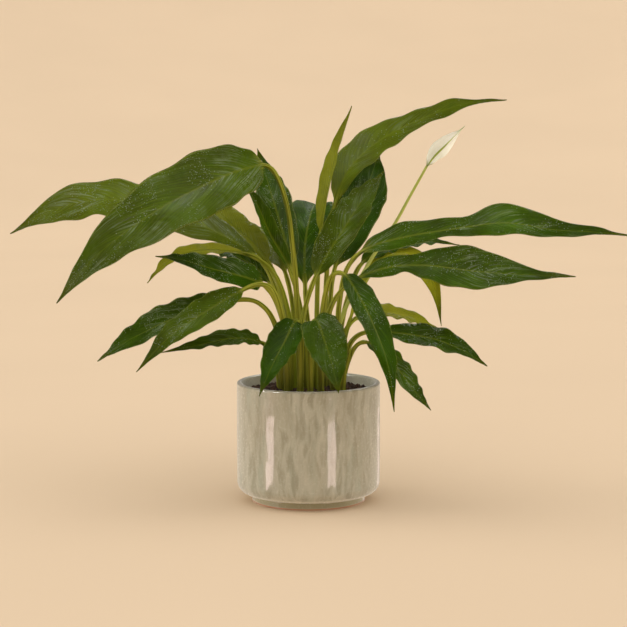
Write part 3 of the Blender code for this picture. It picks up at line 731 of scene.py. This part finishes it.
def water_specks(n, places, spots):
    """Small dried drops in clusters; the leaf's amount of drops and sheen sets how many there are."""
    distance, random_color = n.cells(places, 820.0)
    parts = n.add("SeparateColor", random_color).outputs
    clusters = n.ramp(n.noise(places, 34.0, 2.0), 0.42, 0.68)
    dense = n.times(n.times(spots, clusters), 0.75)
    chosen = n.math("LESS_THAN", parts[0], dense)
    size = n.math("MULTIPLY_ADD", parts[1], 0.34, 0.14)
    drop = n.ramp(n.over(distance, size), 1.0, 0.75)
    return n.times(drop, chosen)


def glaze_material(settings):
    n = Nodes("rippled glaze")
    places = n.object_places()
    swirl = n.noise(places, 30.0, 2.0, output=1)
    swirl = n.add("VectorMath", swirl, (0.009, 0.009, 0.009), operation="MULTIPLY").outputs[0]
    bent = n.add("VectorMath", places, swirl, operation="ADD").outputs[0]
    tall = n.stretched(bent, (1.0, 1.0, 0.2))
    runs = n.noise(tall, 150.0, 4.0, 0.6)
    folds = n.noise(tall, 75.0, 2.0, 0.5)
    crease = n.ramp(n.size(n.minus(folds, 0.5)), 0.0, 0.07)
    broad = n.noise(n.stretched(places, (1.0, 1.0, 0.35)), 26.0, 3.0)
    fine = n.noise(places, 420.0, 3.0)
    color = n.mix(n.ramp(runs, 0.34, 0.64), settings.glaze_streak, settings.glaze)
    color = n.mix(n.ramp(broad, 0.42, 0.7, 0.0, 0.3), color, (0.40, 0.35, 0.25))
    color = n.mix(n.ramp(n.noise(tall, 60.0, 3.0), 0.5, 0.72, 0.0, 0.4), color, (0.32, 0.38, 0.3))
    color = n.mix(n.ramp(crease, 1.0, 0.0, 0.0, 0.22), color, (0.6, 0.57, 0.46))
    specks, _ = n.cells(places, 300.0)
    color = n.mix(n.ramp(specks, 0.12, 0.05, 0.0, 0.3), color, (0.16, 0.13, 0.08))
    height = n.add("SeparateXYZ", places).outputs[2]
    rim = n.ramp(n.plus(height, n.times(n.minus(runs, 0.5), 0.0015)),
                 POT_HEIGHT - 0.0011, POT_HEIGHT - 0.0001)
    color = n.mix(n.times(rim, 0.45), color, (0.3, 0.24, 0.14))
    # Painted light: the inner wall gets a lighter glaze colour that lifts the shade inside the pot.
    around = n.add("VectorMath", places, (1.0, 1.0, 0.0), operation="MULTIPLY").outputs[0]
    out = n.add("VectorMath", around, operation="LENGTH").outputs["Value"]
    painted_light_inside = n.ramp(out, POT_RADIUS - settings.wall * 0.5, POT_RADIUS - settings.wall * 0.8)
    color = n.mix(n.times(painted_light_inside, 0.7), color, (0.62, 0.6, 0.48))
    bare = n.ramp(height, 0.0022, 0.0012)
    color = n.mix(bare, color, (0.46, 0.2, 0.09))
    foot = n.times(n.ramp(height, 0.0095, 0.007), n.ramp(height, 0.0012, 0.0024))
    color = n.mix(n.times(foot, 0.7), color, (0.3, 0.27, 0.12))
    bumps = n.plus(n.times(runs, 1.1), n.times(fine, 0.02))
    bumps = n.plus(bumps, n.times(crease, -0.6))
    normal = n.bump(bumps, 0.0004, 0.4)
    roughness = n.plus(n.ramp(fine, 0.3, 0.7, 0.24, 0.28), n.times(bare, 0.6))
    n.shader.inputs["Sheen Weight"].default_value = 0.5
    n.shader.inputs["Sheen Roughness"].default_value = 0.45
    return n.finish(color, roughness, normal, coat=0.9)


def soil_material(settings):
    n = Nodes("potting mix")
    places = n.object_places()
    grain = n.noise(places, 600.0, 5.0, 0.65)
    clods = n.noise(places, 160.0, 4.0)
    color = n.mix(n.ramp(clods, 0.35, 0.7), settings.color, (0.11, 0.055, 0.032))
    color = n.mix(n.ramp(grain, 0.5, 0.8, 0.0, 0.6), color, (0.24, 0.125, 0.075))
    normal = n.bump(n.plus(grain, n.times(clods, 1.5)), 0.0009, 0.9)
    return n.finish(color, n.ramp(grain, 0.3, 0.7, 0.75, 0.95), normal, specular=0.3)


def chip_material():
    n = Nodes("bark and fibre")
    places = n.object_places()
    streaks = n.noise(n.stretched(places, (1.0, 1.0, 0.3)), 700.0, 4.0)
    patches = n.noise(places, 90.0, 2.0)
    color = n.mix(n.ramp(patches, 0.4, 0.62), (0.03, 0.018, 0.011), (0.1, 0.05, 0.026))
    color = n.mix(n.ramp(streaks, 0.5, 0.75, 0.0, 0.5), color, (0.17, 0.095, 0.05))
    return n.finish(color, 0.82, n.bump(streaks, 0.0004, 0.8), specular=0.3)


def stalk_material():
    n = Nodes("flower stalk")
    surface = n.uv_places()
    streaks = n.noise(n.stretched(surface, (1500.0, 30.0, 1.0)), 1.0, 2.0)
    v = n.add("SeparateXYZ", surface).outputs[1]
    color = n.mix(n.ramp(streaks, 0.3, 0.7), (0.62, 0.66, 0.12), (0.42, 0.5, 0.06))
    color = n.mix(n.ramp(v, 0.16, 0.27), color, (0.46, 0.52, 0.09))
    return n.finish(color, n.ramp(streaks, 0.3, 0.7, 0.34, 0.45), n.bump(streaks, 0.0002, 0.5))


def spathe_material(settings):
    n = Nodes("white hood")
    across, along, _ = n.attribute("blade")
    places = n.object_places()
    veins = line_mask(n, n.times(across, 9.0), 0.22)
    soft = n.noise(places, 160.0, 3.0)
    color = n.mix(n.ramp(soft, 0.35, 0.7), settings.spathe, (0.93, 0.92, 0.85))
    color = n.mix(n.times(veins, 0.16), color, (0.56, 0.63, 0.42))
    from_rib = n.size(across)
    reach = n.ramp(along, 0.0, 0.85, 0.16, 0.045)
    rib = n.ramp(n.over(from_rib, reach), 1.0, 0.5)
    rib = n.times(rib, n.ramp(along, 0.98, 0.72, 0.35, 1.0))
    color = n.mix(rib, color, (0.4, 0.48, 0.08))
    color = n.mix(n.ramp(along, 0.74, 0.95, 0.0, 0.8), color, (0.5, 0.56, 0.26))
    color = n.mix(n.ramp(along, 0.1, 0.0, 0.0, 0.9), color, (0.25, 0.33, 0.05))
    n.finish(color, n.ramp(soft, 0.3, 0.7, 0.42, 0.55), n.bump(veins, 0.00015, 0.6))
    n.let_light_through(color, 0.62)
    return n.material


def spadix_material(settings):
    n = Nodes("cream spike")
    places = n.object_places()
    grains, _ = n.cells(places, 900.0)
    color = n.mix(n.ramp(grains, 0.1, 0.55), settings.spadix, (0.42, 0.42, 0.14))
    return n.finish(color, 0.6, n.bump(grains, 0.0003, 0.7))


def backdrop_material(settings):
    n = Nodes("matt backdrop paper")
    places = n.object_places()
    soft = n.noise(places, 1.3, 2.0)
    shade = tuple(0.975 * c for c in settings.floor)
    color = n.mix(n.ramp(soft, 0.3, 0.7), settings.floor, shade)
    grain = n.noise(places, 900.0, 2.0)
    return n.finish(color, 0.9, n.bump(grain, 0.0001, 0.25), specular=0.0)


# ---------------------------------------------------------------- pieces

class LILY_OT_stage(bpy.types.Operator):
    """Make the floor, the lights and the camera"""

    bl_idname = "lily.stage"
    bl_label = "Stage"

    def execute(self, context):
        settings = context.scene.lily_stage
        self.make_floor(settings)
        self.make_lights()
        self.make_world()
        self.make_camera(context, settings)
        context.scene.view_settings.view_transform = "Standard"
        return {"FINISHED"}

    def make_floor(self, settings):
        profile = [(0.0, 0.0)] + line((0.0, 0.0), (FLOOR_REACH, 0.0), 8)
        profile += arc((FLOOR_REACH, FLOOR_BEND), FLOOR_BEND, -90, -58, 20)[1:]
        bm = bmesh.new()
        verts = [bm.verts.new((r, 0.0, z)) for r, z in profile]
        edges = [bm.edges.new(pair) for pair in zip(verts, verts[1:])]
        bmesh.ops.spin(bm, geom=verts + edges, cent=(0, 0, 0), axis=(0, 0, 1), angle=math.tau, steps=96,
                       use_merge=True)
        bmesh.ops.remove_doubles(bm, verts=bm.verts, dist=1e-5)
        bmesh.ops.recalc_face_normals(bm, faces=bm.faces)
        if min(bm.faces, key=lambda face: face.calc_center_median().length).normal.z < 0:
            bmesh.ops.reverse_faces(bm, faces=bm.faces)
        floor = bpy.data.objects.new("floor", mesh_of("floor", bm, backdrop_material(settings), crease=40))
        floor.visible_glossy = False
        bpy.context.scene.collection.objects.link(floor)

    def make_lights(self):
        self.soft_sun("key", (-1.2, -0.4, 1.6), 0.56, 110)
        self.soft_sun("fill", (1.2, -0.5, 1.4), 0.3, 110)
        self.soft_sun("top_light", (0.0, -0.2, 1.0), 0.48, 90, shadows=False)
        self.soft_sun("left_edge_light", (-1.5, 0.35, 0.3), 1.35, 60, shadows=False)
        self.soft_sun("right_edge_light", (1.5, 0.3, 0.3), 0.72, 60, shadows=False)
        self.softbox("left_softbox", (-1.5, -0.9, 1.35), 0.45, 0.35, 24.0)
        self.softbox("overhead_softbox", (-0.45, -0.6, 1.9), 0.3, 0.2, 20.0)
        self.softbox("front_softbox", (0.45, -1.3, 1.7), 0.3, 0.25, 13.0)
        self.softbox("low_left_softbox", (-1.7, -0.4, 0.45), 0.2, 0.5, 11.0)
        self.softbox("right_softbox", (1.3, -0.7, 1.5), 0.3, 0.3, 12.0)
        self.softbox("back_softbox", (0.3, 1.5, 1.3), 0.8, 0.3, 6.0)
        self.strip("left_strip", -63, -0.265, 0.38, 0.95)
        self.strip("right_strip", 37, -0.275, 0.32, 0.82)
        self.strip("edge_strip", 150, -0.36, 0.16, 0.12)

    def soft_sun(self, name, place, strength, softness, shadows=True):
        """Even light over the whole stage, from one side, with soft shadows."""
        data = bpy.data.lights.new(name, "SUN")
        data.energy = strength
        data.angle = math.radians(softness)
        data.use_shadow = shadows
        data.color = SUN_COLOR
        light = bpy.data.objects.new(name, data)
        light.rotation_euler = (-Vector(place)).to_track_quat("-Z", "Y").to_euler()
        light.visible_glossy = False
        bpy.context.scene.collection.objects.link(light)

    def panel(self, name, place, target, width, height, power):
        data = bpy.data.lights.new(name, "AREA")
        data.shape = "RECTANGLE"
        data.size = width
        data.size_y = height
        data.energy = power
        data.color = PANEL_COLOR
        light = bpy.data.objects.new(name, data)
        light.location = place
        light.rotation_euler = (Vector(target) - Vector(place)).to_track_quat("-Z", "Y").to_euler()
        bpy.context.scene.collection.objects.link(light)
        return light

    def softbox(self, name, place, width, height, power):
        """A panel that makes highlights only; the suns give the light."""
        light = self.panel(name, place, (0.0, 0.0, 0.2), width, height, power)
        light.visible_diffuse = False
        light.visible_transmission = False

    def strip(self, name, azimuth, low, width, power):
        """A bright panel that only shows as a reflection in the glaze."""
        turn = math.radians(azimuth)
        place = Vector((math.sin(turn) * STRIP_DISTANCE, -math.cos(turn) * STRIP_DISTANCE,
                        (low + STRIP_TOP) / 2))
        light = self.panel(name, place, (0.0, 0.0, place.z), width, STRIP_TOP - low, power)
        light.data.color = STRIP_COLOR
        light.visible_camera = False
        light.visible_diffuse = False
        light.visible_transmission = False

    def make_world(self):
        """A dim room above and the floor's own warm colour below."""
        world = bpy.data.worlds.new("soft studio")
        world.use_nodes = True
        tree = world.node_tree
        place = tree.nodes.new("ShaderNodeTexCoord")
        parts = tree.nodes.new("ShaderNodeSeparateXYZ")
        height = tree.nodes.new("ShaderNodeMapRange")
        height.inputs["From Min"].default_value = -0.05
        height.inputs["From Max"].default_value = 0.12
        colors = tree.nodes.new("ShaderNodeMix")
        colors.data_type = "RGBA"
        colors.inputs[6].default_value = (0.68, 0.56, 0.42, 1.0)
        colors.inputs[7].default_value = (0.1, 0.096, 0.09, 1.0)
        rays = tree.nodes.new("ShaderNodeLightPath")
        room = tree.nodes.new("ShaderNodeMix")
        room.data_type = "RGBA"
        room.inputs[6].default_value = (0.58, 0.555, 0.52, 1.0)
        tree.links.new(place.outputs["Generated"], parts.inputs[0])
        tree.links.new(parts.outputs["Z"], height.inputs["Value"])
        tree.links.new(height.outputs[0], colors.inputs[0])
        tree.links.new(rays.outputs["Is Glossy Ray"], room.inputs[0])
        tree.links.new(colors.outputs[2], room.inputs[7])
        tree.links.new(room.outputs[2], tree.nodes["Background"].inputs["Color"])
        bpy.context.scene.world = world

    def make_camera(self, context, settings):
        data = bpy.data.cameras.new("camera")
        data.lens = settings.focal_length
        data.clip_end = 50.0
        camera = bpy.data.objects.new("camera", data)
        camera.location = (CAMERA_ASIDE, -settings.distance, settings.height)
        camera.rotation_euler = (math.pi / 2 - settings.tilt, 0.0, 0.0)
        context.scene.collection.objects.link(camera)
        context.scene.camera = camera


class LILY_OT_pot(bpy.types.Operator):
    """Make the glazed pot, with its rippled wall and recessed foot"""

    bl_idname = "lily.pot"
    bl_label = "Pot"

    def execute(self, context):
        settings = context.scene.lily_pot
        rim = 0.0018
        edge = 0.012
        foot_radius = 0.057
        foot_round = 0.0006
        foot_height = 0.008
        floor_top = 0.012
        inner = POT_RADIUS - settings.wall
        profile = [(0.0, 0.0)] + line((0.0, 0.0), (foot_radius - foot_round, 0.0), 6)
        profile += arc((foot_radius - foot_round, foot_round), foot_round, -90, 0, 3)[1:]
        profile += line((foot_radius, foot_round), (foot_radius - 0.0008, foot_height - 0.001), 6)
        profile += arc((foot_radius + foot_round, foot_height - 0.001), 0.0014, 180, 110, 3)[1:]
        profile += arc((POT_RADIUS - edge, foot_height + edge), edge, -80, 0, 18)
        profile += line((POT_RADIUS, foot_height + edge), (POT_RADIUS, POT_HEIGHT - rim), 110)
        profile += arc((POT_RADIUS - rim, POT_HEIGHT - rim), rim, 0, 90, 5)[1:]
        profile += line((POT_RADIUS - rim, POT_HEIGHT), (inner + rim, POT_HEIGHT), 2)
        profile += arc((inner + rim, POT_HEIGHT - rim), rim, 90, 180, 5)[1:]
        profile += line((inner, POT_HEIGHT - rim), (inner, floor_top + edge), 30)
        profile += arc((inner - edge, floor_top + edge), edge, 0, -90, 8)[1:]
        profile += line((inner - edge, floor_top), (0.0, floor_top), 4)
        bm = turned(profile, 288)
        for vert in bm.verts:
            self.ripple(vert, settings, edge, foot_height)
        bmesh.ops.recalc_face_normals(bm, faces=bm.faces)
        link("glazed_pot", mesh_of("glazed_pot", bm, glaze_material(settings), crease=60), "glaze", "pot")
        return {"FINISHED"}

    def ripple(self, vert, settings, edge, foot_height):
        """Press uneven upright hollows into the wall; the rim and the foot stay round."""
        out = math.hypot(vert.co.x, vert.co.y)
        if out < 0.5 * POT_RADIUS or vert.co.z < foot_height * 0.5:
            return
        round_place = Vector((vert.co.x / out * POT_RADIUS, vert.co.y / out * POT_RADIUS, vert.co.z * 0.26))
        deep = noise.noise(round_place * 105.0) + 0.5 * noise.noise(round_place * 230.0 + Vector((7, 3, 1)))
        deep += 0.6 * noise.noise(round_place * 48.0 + Vector((2, 9, 4)))
        near_rim = min(1.0, max(0.12, (POT_HEIGHT - vert.co.z - 0.001) / 0.007))
        near_foot = min(1.0, max(0.0, (vert.co.z - foot_height * 0.5) / edge))
        outside = 1.0 if out > POT_RADIUS - settings.wall * 0.55 else 0.25
        move = -settings.ripple * 0.75 * (0.55 - deep * near_rim * near_foot) * outside
        vert.co.x += vert.co.x / out * move
        vert.co.y += vert.co.y / out * move


class LILY_OT_soil(bpy.types.Operator):
    """Make the soil, with crumbs and bark chips on its surface"""

    bl_idname = "lily.soil"
    bl_label = "Soil"

    def execute(self, context):
        settings = context.scene.lily_soil
        self.make_bed(settings)
        self.make_crumbs(settings)
        self.make_chips()
        return {"FINISHED"}

    def surface(self, x, y):
        """The height of the uneven soil."""
        place = Vector((x, y, 0.0))
        height = 0.0016 * noise.noise(place * 55.0) + 0.0011 * noise.noise(place * 140.0)
        height += 0.0006 * noise.noise(place * 330.0)
        out = math.hypot(x, y) / SOIL_RADIUS
        return SOIL_TOP - 0.0004 + height + 0.0022 * (1 - out ** 2) - 0.0012 * out ** 6

    def make_bed(self, settings):
        radius = SOIL_RADIUS
        low = SOIL_LOW[2]
        edge = 0.0115
        profile = [(0.0, low)] + line((0.0, low), (radius - edge, low), 3)
        profile += arc((radius - edge, low + edge), edge, -90, 0, 6)[1:]
        profile += line((radius, low + edge), (radius, SOIL_TOP - 0.002), 6)
        profile += line((radius, SOIL_TOP - 0.002), (radius - 0.0006, SOIL_TOP), 2)
        profile += line((radius - 0.0006, SOIL_TOP), (0.0, SOIL_TOP), 62)
        bm = turned(profile, 180)
        for vert in bm.verts:
            if vert.co.z > SOIL_TOP - 1e-5:
                vert.co.z = self.surface(vert.co.x, vert.co.y)
        bmesh.ops.recalc_face_normals(bm, faces=bm.faces)
        link("soil_bed", mesh_of("soil_bed", bm, soil_material(settings), crease=80), "soil", "soil")

    def scattered(self, rng, reach=0.965):
        turn = rng.uniform(0, math.tau)
        out = SOIL_RADIUS * reach * math.sqrt(rng.random())
        return math.cos(turn) * out, math.sin(turn) * out

    def make_crumbs(self, settings):
        rng = random.Random(11)
        bm = bmesh.new()
        for _ in range(settings.crumbs):
            x, y = self.scattered(rng)
            size = settings.crumb_size * rng.uniform(0.22, 1.0) ** 1.6
            stretch = Matrix.Diagonal((*(size * rng.uniform(0.7, 1.25) for _ in range(3)), 1.0))
            turn = Euler([rng.uniform(0, math.tau) for _ in range(3)]).to_matrix().to_4x4()
            place = Matrix.Translation((x, y, self.surface(x, y) + size * 0.25))
            made = bmesh.ops.create_icosphere(bm, subdivisions=1, radius=1.0, matrix=place @ turn @ stretch)
            for vert in made["verts"]:
                vert.co += Vector([rng.uniform(-0.22, 0.22) * size for _ in range(3)])
        link("soil_crumbs", mesh_of("soil_crumbs", bm, soil_material(settings), crease=30), "soil")

    def make_chips(self):
        rng = random.Random(23)
        bm = bmesh.new()
        for _ in range(BARK_CHIPS):
            x, y = self.scattered(rng, 0.95)
            long = rng.uniform(0.002, 0.006)
            size = (long, long * rng.uniform(0.25, 0.55), long * rng.uniform(0.1, 0.25), 1.0)
            lean = (rng.uniform(-0.5, 0.5), rng.uniform(-0.5, 0.5), rng.uniform(0, math.tau))
            place = Matrix.Translation((x, y, self.surface(x, y) + 0.0007))
            matrix = place @ Euler(lean).to_matrix().to_4x4() @ Matrix.Diagonal(size)
            made = bmesh.ops.create_cube(bm, size=1.0, matrix=matrix)
            for vert in made["verts"]:
                vert.co += Vector([rng.uniform(-0.12, 0.12) * long for _ in range(3)])
        link("soil_bark_chips", mesh_of("soil_bark_chips", bm, chip_material(), crease=30), "soil")


class LILY_OT_leaves(bpy.types.Operator):
    """Make every leaf, each one piece of stalk and blade"""

    bl_idname = "lily.leaves"
    bl_label = "Leaves"

    def execute(self, context):
        settings = context.scene.lily_leaves
        material = leaf_material(settings)
        template = tube_template(LEAF_RINGS, LEAF_ROUND)
        angle, share = template_places(template)
        for index, spec in enumerate(LEAVES):
            mesh = shape_leaf(spec, settings, template, angle, share, seed=17 + 31 * index)
            mesh.materials.append(material)
            link(spec.name + "_grown", mesh, spec.slot, spec.name)
        bpy.data.meshes.remove(template)
        return {"FINISHED"}


class LILY_OT_flower(bpy.types.Operator):
    """Make the flower: its stalk, white hood and knobbly spike"""

    bl_idname = "lily.flower"
    bl_label = "Flower"

    def execute(self, context):
        settings = context.scene.lily_flower
        self.make_stalk()
        self.make_spathe(settings)
        self.make_spadix(settings)
        return {"FINISHED"}

    def make_stalk(self):
        mesh = tube_template(120, 20)
        angle, share = template_places(mesh)
        spine = placed(SCAPE_SPINE)
        t = share * (len(spine) - 1)
        radius = SCAPE_RADIUS + (SCAPE_END_RADIUS - SCAPE_RADIUS) * share
        x = radius * np.cos(angle)
        y = radius * np.sin(angle)
        set_uv(mesh, x, distance_along(spine, t))
        bend(mesh, spine_frames(spine, t, np.tile((0.0, -1.0, 0.2), (len(t), 1))), x, y)
        mesh.materials.append(stalk_material())
        link("flower_stalk_grown", mesh, "flower_stalk", "flower_stalk")

    def make_spathe(self, settings):
        mesh = tube_template(110, 56)
        angle, share = template_places(mesh)
        spine = placed(SPATHE_SPINE)
        t = share * (len(spine) - 1)
        across, is_under = sides(angle)
        width = settings.half_width * outline_at(SPATHE_OUTLINE, share)
        cup = SPATHE_CUP * across
        round_of_cup = width / SPATHE_CUP
        x = round_of_cup * np.sin(cup)
        y = round_of_cup * (1 - np.cos(cup)) * 1.15
        y = y + 0.0006 * np.sin(share * 17 + across * 2) * np.abs(across) ** 2 * np.sin(math.pi * share)
        body = SPATHE_BODY * (1 - 0.6 * across ** 6)
        root = 0.0004 * (1 - share) ** 6
        keel = SPATHE_KEEL * np.exp(-(across * width / SPATHE_KEEL) ** 2) * (1 - share) ** 0.7 + root
        y = np.where(is_under, y - body / 2 - keel, y + body / 2 + root)
        set_vectors(mesh, "blade", across, share, share * 0)
        bend(mesh, spine_frames(spine, t, np.tile(SPATHE_FACE, (len(t), 1))), x, y)
        mesh.materials.append(spathe_material(settings))
        link("spathe_hood", mesh, "spathe", "spathe")

    def make_spadix(self, settings):
        stalk_end = Vector(placed(SCAPE_SPINE)[-1])
        hood = placed(SPATHE_SPINE)
        axis = Vector(hood[-1] - hood[0]).normalized()
        face = Vector(SPATHE_FACE)
        top = (face - axis * face.dot(axis)).normalized()
        axis = (axis + top * 0.16).normalized()
        mesh = tube_template(130, 60)
        angle, share = template_places(mesh)
        thick = SPADIX_RADIUS * np.sqrt(np.clip(1 - np.clip((share - 0.86) / 0.14, 0, 1) ** 2, 0.0004, 1))
        neck = smooth_step(0.05, 0.22, share)
        thick = thick * (0.32 + 0.68 * neck)
        rows = share * SPADIX_ROWS
        knobs = np.abs(np.sin(math.pi * rows)) * np.abs(np.sin(5 * angle + math.pi / 2 * np.floor(rows)))
        thick = thick + KNOB_HEIGHT * knobs ** 0.8 * neck * (share < 0.985)
        places = np.column_stack((thick * np.cos(angle), thick * np.sin(angle), share * SPADIX_LENGTH))
        turn = axis.to_track_quat("Z", "Y").to_matrix()
        foot = stalk_end + top * 0.0009
        set_places(mesh, places @ np.array(turn).T + np.array(foot))
        mesh.materials.append(spadix_material(settings))
        link("spadix_spike", mesh, "spadix", "spadix")


class LILY_PT_panel(bpy.types.Panel):
    """The plant's pieces and their settings"""

    bl_idname = "LILY_PT_panel"
    bl_label = "Peace Lily"
    bl_space_type = "VIEW_3D"
    bl_region_type = "UI"
    bl_category = "Peace Lily"

    def draw(self, context):
        for operator, settings in PIECES:
            box = self.layout.box()
            box.operator(operator)
            group = getattr(context.scene, settings)
            for name in group.__annotations__:
                box.prop(group, name)


PIECES = (
    ("lily.stage", "lily_stage"),
    ("lily.pot", "lily_pot"),
    ("lily.soil", "lily_soil"),
    ("lily.leaves", "lily_leaves"),
    ("lily.flower", "lily_flower"),
)
SETTINGS = {
    "lily_stage": StageSettings,
    "lily_pot": PotSettings,
    "lily_soil": SoilSettings,
    "lily_leaves": LeafSettings,
    "lily_flower": FlowerSettings,
}
OPERATORS = (LILY_OT_stage, LILY_OT_pot, LILY_OT_soil, LILY_OT_leaves, LILY_OT_flower, LILY_PT_panel)


def register():
    for name, group in SETTINGS.items():
        bpy.utils.register_class(group)
        setattr(bpy.types.Scene, name, bpy.props.PointerProperty(type=group))
    for cls in OPERATORS:
        bpy.utils.register_class(cls)


def unregister():
    for cls in reversed(OPERATORS):
        bpy.utils.unregister_class(cls)
    for name, group in SETTINGS.items():
        delattr(bpy.types.Scene, name)
        bpy.utils.unregister_class(group)


def main():
    register()
    bpy.ops.lily.stage()
    bpy.ops.lily.pot()
    bpy.ops.lily.soil()
    bpy.ops.lily.leaves()
    bpy.ops.lily.flower()


if __name__ == "__main__":
    main()
